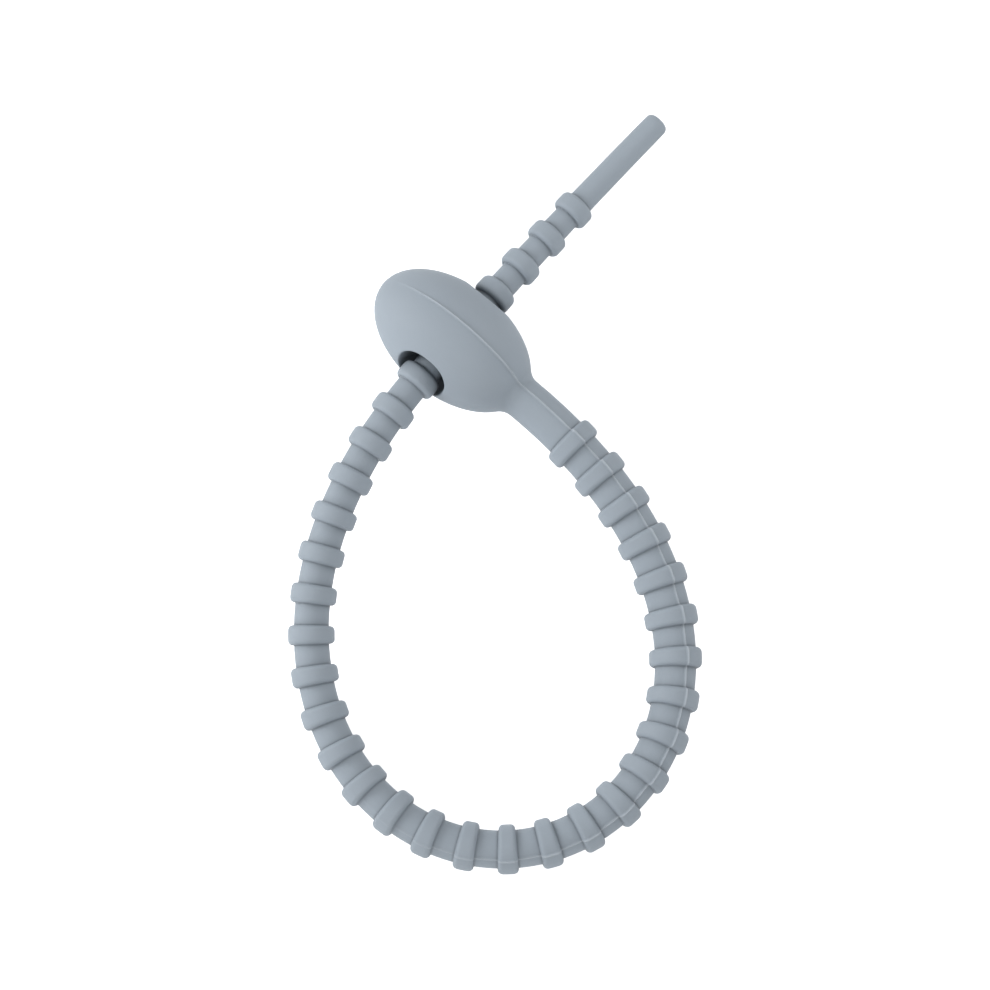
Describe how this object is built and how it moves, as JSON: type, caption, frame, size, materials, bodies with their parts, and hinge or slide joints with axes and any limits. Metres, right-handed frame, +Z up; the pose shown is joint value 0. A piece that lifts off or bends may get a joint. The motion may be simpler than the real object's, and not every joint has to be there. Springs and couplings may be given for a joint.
{
  "type": "silicone cable tie",
  "caption": "Reusable silicone cable tie closed in a teardrop loop: an olive-shaped head with a through hole and a tapering ribbed strap that ends in a plain round rod.",
  "frame": {"origin": "on the ground under the middle of the tie's box, as it lies", "axes": "+Z up out of the surface it lies on, +Y along the loop from its foot towards the tail, +X to the side on which the neck leaves the head"},
  "size_m": [0.0524, 0.0984, 0.0144],
  "materials": {
    "silicone": "matte grey-blue silicone"
  },
  "bodies": {
    "root": {"cable_tie": "silicone"}
  },
  "joints": []
}
